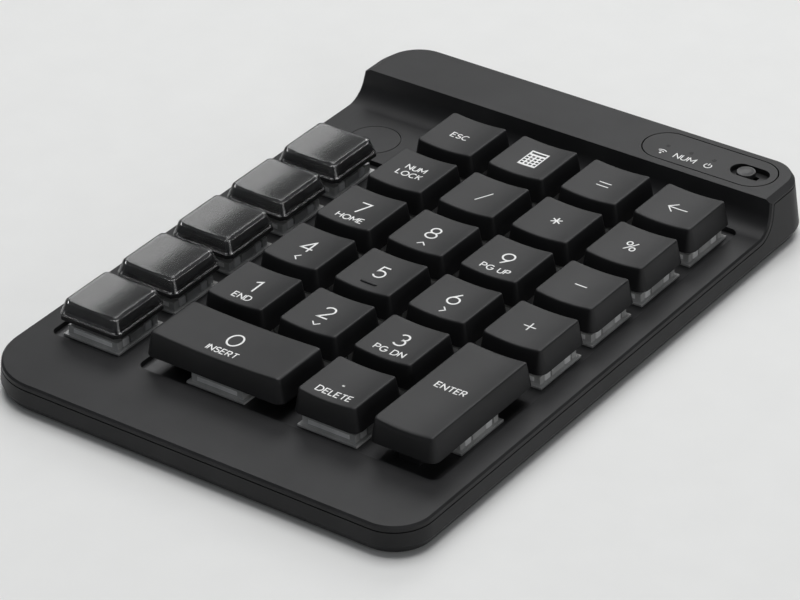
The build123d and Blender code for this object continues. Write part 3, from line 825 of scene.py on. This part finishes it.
WORDS_BELOW = {"7": "HOME", "9": "PG UP", "1": "END", "3": "PG DN", "0": "INSERT"}
ARROWS_BELOW = {"8": "^", "2": "v", "4": "<", "6": ">"}


def key_strokes(node, sizes):
    """The legend of one key: a digit or sign in the middle, and on some keys a word or sign below it."""
    name = node.removeprefix("key_")
    small, thin, thick = sizes.word, sizes.stroke, sizes.digit_stroke
    if name.isdigit():
        strokes = word(name, sizes.digit, DIGIT_AT, thick)
        if name in WORDS_BELOW:
            strokes += word(WORDS_BELOW[name], small, BELOW, thin)
        if name in ARROWS_BELOW:
            strokes += word(ARROWS_BELOW[name], ARROW_TALL, BELOW, thin)
        return strokes
    middle = (0.1 * MM, 0)
    signs = {
        "escape": word("ESC", small, (-0.2 * MM, -0.6 * MM), thin),
        "calculator": [part for bar, width in CALCULATOR for part in figure([bar], middle, width * MM)],
        "equals": word("=", 3.9 * MM, (0, -0.6 * MM), thin),
        "backspace": figure(BACK_ARROW, (0, -0.5 * MM), thin),
        "num_lock": word("NUM", small, (0, 1.35 * MM), thin) + word("LOCK", small, (0, -1.45 * MM), thin),
        "divide": word("/", 4.2 * MM, (0.1 * MM, -0.2 * MM), thin),
        "multiply": word("*", 3.5 * MM, (-0.1 * MM, 0), 1.25 * thin),
        "percent": word("%", 3.3 * MM, (-0.1 * MM, 0), 1.1 * thin),
        "minus": word("-", 3.7 * MM, (-0.3 * MM, 0), 1.1 * thin),
        "plus": word("+", 3.7 * MM, (-0.3 * MM, 0), 1.1 * thin),
        "decimal": word(".", sizes.digit, (-0.2 * MM, 0.8 * MM), thick) + word("DELETE", small, BELOW, thin),
        "enter": word("ENTER", small, (-0.4 * MM, 0.4 * MM), thin),
    }
    if name not in signs:
        raise RuntimeError(f"there is no legend for {node}")
    return signs[name]


# Finishes


def set_sockets(node, **values):
    """Puts these values on a node's sockets, each named with _ for a space."""
    for socket, value in values.items():
        node.inputs[socket.replace("_", " ")].default_value = value


def add_node(tree, kind, **values):
    """A new node of this kind with these values on its sockets."""
    node = tree.nodes.new(kind)
    set_sockets(node, **values)
    return node


def finish(name, base, roughness, grain, bump, tone=0.25, specular=0.5, drift=0.06, **sockets):
    """A plastic, metal or card: a base colour with soft clouds, roughness with grain, and a fine bump.

    Object coordinates drive two noises. The coarse one shifts the colour between a darker and a lighter tone
    of the base. The fine one, of this grain per metre, moves the roughness by the drift and raises the bump.
    """
    material = bpy.data.materials.new(name)
    material.use_nodes = True
    tree = material.node_tree
    shader = tree.nodes["Principled BSDF"]
    where = tree.nodes.new("ShaderNodeTexCoord")
    coarse = add_node(tree, "ShaderNodeTexNoise", Scale=CLOUD_SCALE, Detail=4)
    fine = add_node(tree, "ShaderNodeTexNoise", Scale=grain, Detail=3)
    colour = tree.nodes.new("ShaderNodeValToRGB")
    darker, lighter = colour.color_ramp.elements
    darker.position, lighter.position = 0.3, 0.7
    darker.color = (*[c * (1 - tone) for c in base], 1)
    lighter.color = (*[min(1, c * (1 + tone)) for c in base], 1)
    rough = add_node(tree, "ShaderNodeMapRange", To_Min=roughness - drift, To_Max=roughness + drift)
    relief = add_node(tree, "ShaderNodeBump", Strength=bump, Distance=BUMP_DEPTH)
    link = tree.links.new
    link(where.outputs["Object"], coarse.inputs["Vector"])
    link(where.outputs["Object"], fine.inputs["Vector"])
    link(coarse.outputs["Fac"], colour.inputs["Fac"])
    link(colour.outputs["Color"], shader.inputs["Base Color"])
    link(fine.outputs["Fac"], rough.inputs["Value"])
    link(rough.outputs["Result"], shader.inputs["Roughness"])
    link(fine.outputs["Fac"], relief.inputs["Height"])
    link(relief.outputs["Normal"], shader.inputs["Normal"])
    set_sockets(shader, Specular_IOR_Level=specular, **sockets)
    return material


def clear_finish(name, tint, roughness):
    """Clear moulded plastic: full transmission, a faint tint that drifts, and slow waves in the surface."""
    through = {"Transmission_Weight": 1.0, "IOR": CLEAR_IOR}
    return finish(name, tint, roughness, 60, 0.001, tone=0.02, drift=0.015, **through)


def housing_finish(name, base, share):
    """Clear switch plastic, hazy from the mould, which lets this share of the light through; with none let
    through and a near-white base it is an opaque white that partly paints glints.

    Object coordinates squeezed along Z turn both noises into upright streaks, like the ribs of the moulding.
    """
    through = {"Transmission_Weight": share, "IOR": CLEAR_IOR}
    material = finish(name, base, 0.14, 1500, 0.8, tone=0.3, specular=0.8, **through)
    tree = material.node_tree
    where = next(node for node in tree.nodes if node.type == "TEX_COORD")
    squeeze = add_node(tree, "ShaderNodeMapping", Scale=RIB_SCALE)
    tree.links.new(where.outputs["Object"], squeeze.inputs["Vector"])
    for noise in [node for node in tree.nodes if node.type == "TEX_NOISE"]:
        tree.links.new(squeeze.outputs["Vector"], noise.inputs["Vector"])
    return material


def board_finish(name):
    """Circuit laminate: dark green lacquer with lighter copper runs under it.

    A brick pattern of Object coordinates gives long narrow cells, and its mortar is the run between them.
    """
    material = finish(name, LACQUER, 0.35, 2500, 0.2)
    tree = material.node_tree
    shader = tree.nodes["Principled BSDF"]
    where = next(node for node in tree.nodes if node.type == "TEX_COORD")
    tones = {"Color1": (*LACQUER, 1), "Color2": (*LACQUER_LIGHT, 1), "Mortar": (*COPPER_RUN, 1)}
    runs = add_node(tree, "ShaderNodeTexBrick", Scale=140, Mortar_Size=0.03, **tones)
    tree.links.new(where.outputs["Object"], runs.inputs["Vector"])
    tree.links.new(runs.outputs["Color"], shader.inputs["Base Color"])
    return material


def finishes(colours):
    """All finishes by slot, made once and found again by name."""
    made = {
        "case_plastic": lambda n: finish(n, colours.case, 0.48, 5200, 0.35, specular=0.27),
        "key_plastic": lambda n: finish(n, colours.key, 0.44, 6500, 0.22, specular=0.26),
        "clear_plastic": lambda n: clear_finish(n, colours.clear, 0.17),
        "switch_clear": lambda n: housing_finish(n, (0.75, 0.75, 0.74), 0.35),
        # Opaque near-white, not clear: on the latches, which are real clips, the colour partly paints their
        # glints; on the front bars it is a painted highlight.
        "latch_clear": lambda n: housing_finish(n, (0.95, 0.95, 0.94), 0.0),
        "label_card": lambda n: finish(n, colours.label, 0.5, 3000, 0.03, specular=0.2),
        "dark_plastic": lambda n: finish(n, (0.012, 0.012, 0.0125), 0.45, 4000, 0.25),
        "badge_plastic": lambda n: finish(n, (0.02, 0.02, 0.021), 0.42, 3000, 0.08, specular=0.2),
        "window_plastic": lambda n: finish(n, (0.0125, 0.0125, 0.0132), 0.48, 5200, 0.25, specular=0.3),
        "slider_plastic": lambda n: finish(n, (0.014, 0.014, 0.0148), 0.42, 5000, 0.2),
        "lamp_plastic": lambda n: finish(n, (0.008, 0.008, 0.008), 0.4, 3000, 0.1, specular=0.15),
        "plate_metal": lambda n: finish(n, (0.07, 0.07, 0.072), 0.42, 2500, 0.2, Metallic=0.8),
        "board_laminate": board_finish,
        "cell_jacket": lambda n: finish(n, (0.09, 0.1, 0.11), 0.32, 2500, 0.1),
        "bright_steel": lambda n: finish(n, (0.5, 0.5, 0.49), 0.3, 3000, 0.15, Metallic=1.0),
        "foot_rubber": lambda n: finish(n, (0.014, 0.014, 0.014), 0.75, 4500, 0.5, specular=0.3),
        "print": lambda n: finish(n, colours.print, 0.5, 5000, 0.1, tone=0.04),
    }
    return {
        slot: bpy.data.materials.get("finish_" + slot) or build("finish_" + slot)
        for slot, build in made.items()
    }


# CAD nodes that are kept: the slot of each, its finish where that has another name, and its edges' bevel
NODE_SLOTS = {
    "top_cover": "case_plastic",
    "bottom_case": "case_plastic",
    "battery_door": "case_plastic",
    "badge_disc": "badge_plastic",
    "status_window": "window_plastic",
    "light_pipes": "lamp_plastic",
    "status_lamps": "lamp_plastic",
    "switch_top_housings": "clear_plastic",
    "switch_bases": "dark_plastic",
    "stabilizer_guides": "dark_plastic",
    "power_switch_body": "dark_plastic",
    "controller_chip": "dark_plastic",
    "battery_contacts": "bright_steel",
    "case_screws": "bright_steel",
    "radio_shield": "bright_steel",
    "switch_plate": "plate_metal",
    "circuit_board": "board_laminate",
    "status_board": "board_laminate",
    "battery_cell": "cell_jacket",
    "rubber_feet": "foot_rubber",
}
LOOKS = {"switch_top_housings": "switch_clear"}
SOFT_EDGES = {
    "switch_top_housings": 0.12 * MM,
    "rubber_feet": 0.35 * MM,
    "battery_door": 0.15 * MM,
    "stabilizer_guides": 0.15 * MM,
}
NODE_SLOTS |= {f"macro_base_{number}": "dark_plastic" for number in MACRO_NUMBERS}
SOFT_EDGES |= {f"macro_base_{number}": 0.1 * MM for number in MACRO_NUMBERS}


def dress(node, material, soft):
    """Puts a finish on a CAD node; modifiers weld its triangles, bevel its edges and even out its shading."""
    piece = NODES[node]
    piece.data.materials.clear()
    piece.data.materials.append(material)
    piece.data.polygons.foreach_set("use_smooth", np.ones(len(piece.data.polygons), bool))
    weld = piece.modifiers.new("weld", "WELD")
    weld.merge_threshold = WELD_REACH
    if soft:
        bevel = piece.modifiers.new("edges", "BEVEL")
        bevel.width = soft
        bevel.segments = 2
        bevel.limit_method = "ANGLE"
        bevel.angle_limit = BEVEL_ANGLE
        bevel.harden_normals = True
    split = piece.modifiers.new("sharp", "EDGE_SPLIT")
    split.split_angle = SHARP_ANGLE
    even = piece.modifiers.new("even", "WEIGHTED_NORMAL")
    even.weight = 100
    even.keep_sharp = True


def key_middles():
    """The middle (x, y) of every key, black and clear."""
    nodes = KEY_NODES + [f"macro_cover_{number}" for number in MACRO_NUMBERS]
    return np.array([plan(node)[2] for node in nodes])


class KeypadBody(bpy.types.Operator):
    """Dresses the case, the switches, the bases of the clear keys and the parts inside"""

    bl_idname = "keypad.body"
    bl_label = "Case and inside"

    def execute(self, context):
        made = finishes(settings(context).colours)
        for node, slot in NODE_SLOTS.items():
            dress(node, made[LOOKS.get(node, slot)], SOFT_EDGES.get(node, 0))
        return {"FINISHED"}


class KeypadSprings(bpy.types.Operator):
    """Winds the return springs, at the length they have under a pressed key so that every press has room"""

    bl_idname = "keypad.springs"
    bl_label = "Return springs"

    def execute(self, context):
        material = finishes(settings(context).colours)["bright_steel"]
        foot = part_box("return_springs")[0].z
        spring = coil(COIL_RADIUS, WIRE_RADIUS, foot, foot + PRESSED_LENGTH)
        pieces = [moved(spring, (x, y, 0)) for x, y in key_middles()]
        body = BODY["return_springs"]
        piece = make("return_coils", joined(pieces), material, body, smooth=60)
        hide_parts("return_springs")
        return {"FINISHED"}


class KeypadLatches(bpy.types.Operator):
    """Stands two latches in the notches on the right of each switch housing, opaque near-white so that their
    colour partly paints their glints, and on its front a thin near-white bar that is a painted highlight
    """

    bl_idname = "keypad.latches"
    bl_label = "Switch latches"

    def execute(self, context):
        # opaque near-white finish: partly painted glints on the latches, a painted highlight on the front
        # bars
        material = finishes(settings(context).colours)["latch_clear"]
        low, high, _, _ = plan("switch_top_housings")
        block = latch(LATCH_HALF, low[2] + LATCH_LIFT, high[2] - LATCH_DROP)
        # the front bar: a thin near-white strip, a painted highlight on the housing's front face
        bar = latch(FRONT_HIGHLIGHT_HALF, *(low[2] + height for height in FRONT_HIGHLIGHT_SPAN))
        right, apart = LATCH_AT
        middles = key_middles()
        pieces = [moved(block, (x + right, y + side * apart, 0)) for x, y in middles for side in (-1, 1)]
        pieces += [moved(bar, (x, y + FRONT_HIGHLIGHT_AT, 0)) for x, y in middles]
        make("switch_latches", joined(pieces), material, BODY["switch_top_housings"])
        return {"FINISHED"}


class KeypadKeycaps(bpy.types.Operator):
    """Builds the 22 black keycaps with their sliders, round-cornered and dished"""

    bl_idname = "keypad.keycaps"
    bl_label = "Keycaps"

    def execute(self, context):
        sizes = settings(context).keys
        material = finishes(settings(context).colours)["key_plastic"]
        parts = loop_frame(8, 12)
        foot, roof = KEY_TOP - sizes.height, KEY_TOP - sizes.sag - sizes.roof
        slope = sizes.inset / sizes.height
        for node in KEY_NODES:
            _, _, middle, half = plan(node)
            rings = inner_rings(parts, half, foot, roof, sizes, slope)
            cap = skin(rings + outer_rings(parts, half, foot, KEY_TOP, sizes))
            pieces = [cap, stem(SLIDER_FOOT, roof)]
            double = half > POST_REACH
            for side in (-1, 1) if double.any() else ():
                place = (*(side * POST_REACH * double), 0)
                pieces.append(moved(post(POST_HALF, POST_FOOT, roof), place))
            if node == "key_5":
                front = sizes.inset - half[1]
                pieces.append(moved(homing_bar(), (0, front + HOMING_AT, KEY_TOP - sizes.sag)))
            surface = moved(joined(pieces), (*middle, 0))
            piece = make("keycap_" + node[4:], surface, material, BODY[node])
            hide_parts(node)
        return {"FINISHED"}


class KeypadClearKeys(bpy.types.Operator):
    """Builds the clear covers of the label keys and the dark inserts in them"""

    bl_idname = "keypad.clear_keys"
    bl_label = "Clear keys"

    def execute(self, context):
        sizes = settings(context).clear
        made = finishes(settings(context).colours)
        parts = loop_frame(8, 10)
        for number in MACRO_NUMBERS:
            node = f"macro_cover_{number}"
            low, high, middle, half = plan(node)
            foot, top, at = low[2], high[2], (*middle, 0)
            roof = top - sizes.sag - sizes.roof
            slope = sizes.inset / (top - foot)
            rings = inner_rings(parts, half, foot, roof, sizes, slope)
            cover = moved(skin(rings + outer_rings(parts, half, foot, top, sizes)), at)
            piece = make(f"clear_cover_{number}", cover, made["clear_plastic"], BODY[node])
            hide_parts(node)
            card = moved(skin(insert_rings(parts, half, foot, roof, sizes, slope)), at)
            piece = make(f"label_insert_{number}", card, made["label_card"], BODY[node])
            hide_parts(f"macro_label_{number}")
        return {"FINISHED"}


class KeypadLegends(bpy.types.Operator):
    """Prints the legends on the keycaps as thin strips that follow each dish"""

    bl_idname = "keypad.legends"
    bl_label = "Key legends"

    def execute(self, context):
        group = settings(context)
        sizes, keys = group.print, group.keys
        material = finishes(group.colours)["print"]
        for node in KEY_NODES:
            _, _, middle, half = plan(node)
            width = 2 * (half[0] - keys.inset)

            def height_at(flat):
                return dish_height(flat[:, 0], width, keys.sag, KEY_TOP)

            sheet = moved(printed(key_strokes(node, sizes), height_at, sizes.lift), (*middle, 0))
            piece = make("legend_" + node[4:], sheet, material, BODY[node])
            thicken(piece, PRINT_DEPTH * sizes.lift)
        return {"FINISHED"}


class KeypadWindow(bpy.types.Operator):
    """Prints the window's signs, and builds the round power knob on its stalk"""

    bl_idname = "keypad.window"
    bl_label = "Window and knob"

    def execute(self, context):
        group = settings(context)
        made = finishes(group.colours)
        lift, thin = group.print.lift, group.print.stroke * SIGN_STROKE
        row_y = plan("status_window")[2][1] - SIGN_ROW
        low, high, _, _ = plan("light_pipes")
        xs = np.linspace(low[0] + LAMP_HALF, high[0] - LAMP_HALF, 3)
        strokes = figure(RADIO, (xs[0], row_y), thin)
        strokes += word("NUM", SIGN_TALL, (xs[1], row_y), thin)
        strokes += figure(POWER, (xs[2], row_y), thin)
        sheet = printed(strokes, lambda flat: np.full(len(flat), BAR_TOP), lift)
        piece = make("window_print", sheet, made["print"], BODY["status_window"])
        thicken(piece, PRINT_DEPTH * lift)

        low, high, middle, half = plan("power_slider")
        radius, top = half[0] / MM, high[2] / MM
        knob = lathe(
            [
                (0.3, top - KNOB_TALL),
                (radius - 0.1, top - KNOB_TALL),
                (radius, top - KNOB_TALL + 0.1),
                (radius, top - 0.16),
                (radius - 0.05, top - 0.05),
                (radius - 0.16, top),
                (radius - 0.42, top),
                (radius - 0.56, top - 0.07),
                (0.6, top - 0.1),
                (0.2, top - 0.1),
            ]
        )
        stalk = post(STALK_HALF * MM, low[2], (top - KNOB_TALL + STALK_SINK) * MM)
        surface = moved(joined([knob, stalk]), (*middle, 0))
        piece = make("power_knob", surface, made["slider_plastic"], BODY["power_slider"])
        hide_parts("power_slider")
        return {"FINISHED"}


def backdrop(azimuth):
    """Floor and backdrop as one sheet: a flat run that bends up through a quarter circle into a wall.

    A straight line across is carried along that run, and the sheet is turned about Z to face the camera.
    """
    across = np.linspace(-FLOOR_REACH, FLOOR_REACH, 3)
    bend = np.linspace(0, np.pi / 2, 24)
    wall_at = BEND_START + BEND_RADIUS
    run_y = np.concatenate([[-FLOOR_REACH], BEND_START + BEND_RADIUS * np.sin(bend), [wall_at]])
    run_z = np.concatenate([[0.0], BEND_RADIUS - BEND_RADIUS * np.cos(bend), [BACKDROP_TOP]])
    turn = np.array([[np.cos(azimuth), np.sin(azimuth)], [-np.sin(azimuth), np.cos(azimuth)]])
    flat = np.stack(np.meshgrid(across, run_y), -1) @ turn
    points = np.concatenate([flat, np.repeat(run_z[:, None, None], len(across), 1)], -1).reshape(-1, 3)
    k = (np.arange(len(run_y) - 1)[:, None] * len(across) + np.arange(len(across) - 1)).ravel()
    return points, [np.stack([k, k + 1, k + 1 + len(across), k + len(across)], -1)]


def stand(scene, name, data, right, back, roll, place):
    """Puts a light or camera at a place, with its back along one direction and its right side rolled."""
    up = np.cross(back, right)
    rolled = np.cos(roll) * right + np.sin(roll) * up
    turned = np.eye(4)
    turned[:3, :3] = np.column_stack([rolled, np.cross(back, rolled), back])
    turned[:3, 3] = place
    holder = bpy.data.objects.new(name, data)
    scene.collection.objects.link(holder)
    holder.matrix_world = Matrix(turned.tolist())
    return holder


def soft_light(scene, name, place, size, power, lean):
    """A rectangular soft light that faces the middle of the part, leaning about its own axis."""
    lamp = bpy.data.lights.new(name, "AREA")
    lamp.shape = "RECTANGLE"
    lamp.size, lamp.size_y = size
    lamp.energy = power
    back = np.array(place) / np.linalg.norm(place)
    right = np.cross((0, 0, 1), back)
    stand(scene, name, lamp, right / np.linalg.norm(right), back, lean, place)


def photo_camera(scene, stage):
    """The camera at the photograph's viewing angle: turned, raised and rolled about a point over the keys."""
    camera = bpy.data.cameras.new("camera")
    camera.lens = stage.lens
    camera.sensor_width = SENSOR_WIDTH
    camera.sensor_fit = "HORIZONTAL"
    camera.clip_start = 0.01
    a, e, r = stage.azimuth, stage.elevation, stage.roll
    right = np.array([np.cos(a), np.sin(a), 0])
    back = np.array([np.sin(a) * np.cos(e), -np.cos(a) * np.cos(e), np.sin(e)])
    rolled = np.cos(r) * right + np.sin(r) * np.cross(back, right)
    sides = np.column_stack([rolled, np.cross(back, rolled), back])
    place = CAMERA_AIM + sides @ np.array([*CAMERA_SHIFT, stage.distance])
    return stand(scene, "camera", camera, right, back, r, place)


class KeypadStudio(bpy.types.Operator):
    """Sets the pale floor with its backdrop, three soft lights and the camera"""

    bl_idname = "keypad.studio"
    bl_label = "Stage"

    def execute(self, context):
        group = settings(context)
        scene, stage = context.scene, group.stage
        scene.view_settings.view_transform = "Standard"
        material = finish("studio_floor", group.colours.floor, 0.75, 60, 0.02, tone=0.01, specular=0.2)
        floor = make("studio_floor", backdrop(stage.azimuth), material, None)
        scene.world = bpy.data.worlds.new("studio")
        scene.world.use_nodes = True
        set_sockets(scene.world.node_tree.nodes["Background"], Color=SKY_COLOUR, Strength=SKY_STRENGTH)
        for name, (place, size, lean) in LIGHTS.items():
            soft_light(scene, name, place, size, getattr(stage, name), lean)
        scene.camera = photo_camera(scene, stage)
        return {"FINISHED"}


class KeypadSettings(bpy.types.PropertyGroup):
    """All settings of the keypad's looks."""

    keys: bpy.props.PointerProperty(type=KeypadKeys, name="Keys", description="Sizes of the black keycaps")
    clear: bpy.props.PointerProperty(type=KeypadClear, name="Clear keys", description="Sizes of clear keys")
    print: bpy.props.PointerProperty(type=KeypadPrint, name="Legends", description="Sizes of the print")
    colours: bpy.props.PointerProperty(type=KeypadColours, name="Colours", description="Base colours")
    stage: bpy.props.PointerProperty(type=KeypadStage, name="Stage", description="Camera and light")


OPERATORS = (
    KeypadBody,
    KeypadSprings,
    KeypadLatches,
    KeypadKeycaps,
    KeypadClearKeys,
    KeypadLegends,
    KeypadWindow,
    KeypadStudio,
)


class KeypadPanel(bpy.types.Panel):
    """Lists the settings and the build steps"""

    bl_idname = "VIEW3D_PT_keypad"
    bl_label = "Keypad"
    bl_space_type = "VIEW_3D"
    bl_region_type = "UI"
    bl_category = "Keypad"

    def draw(self, context):
        group = settings(context)
        for part in (group.keys, group.clear, group.print, group.colours, group.stage):
            box = self.layout.box()
            for name in part.__annotations__:
                box.prop(part, name)
        for operator in OPERATORS:
            self.layout.operator(operator.bl_idname)


CLASSES = (
    KeypadKeys,
    KeypadClear,
    KeypadPrint,
    KeypadColours,
    KeypadStage,
    KeypadSettings,
    *OPERATORS,
    KeypadPanel,
)


def register():
    for cls in CLASSES:
        bpy.utils.register_class(cls)
    bpy.types.Scene.keypad = bpy.props.PointerProperty(type=KeypadSettings)


def unregister():
    del bpy.types.Scene.keypad
    for cls in reversed(CLASSES):
        bpy.utils.unregister_class(cls)


def main():
    """Registers the classes and runs the steps in order."""
    register()
    for operator in OPERATORS:
        group, name = operator.bl_idname.split(".")
        getattr(getattr(bpy.ops, group), name)()


if __name__ == "__main__":
    main()
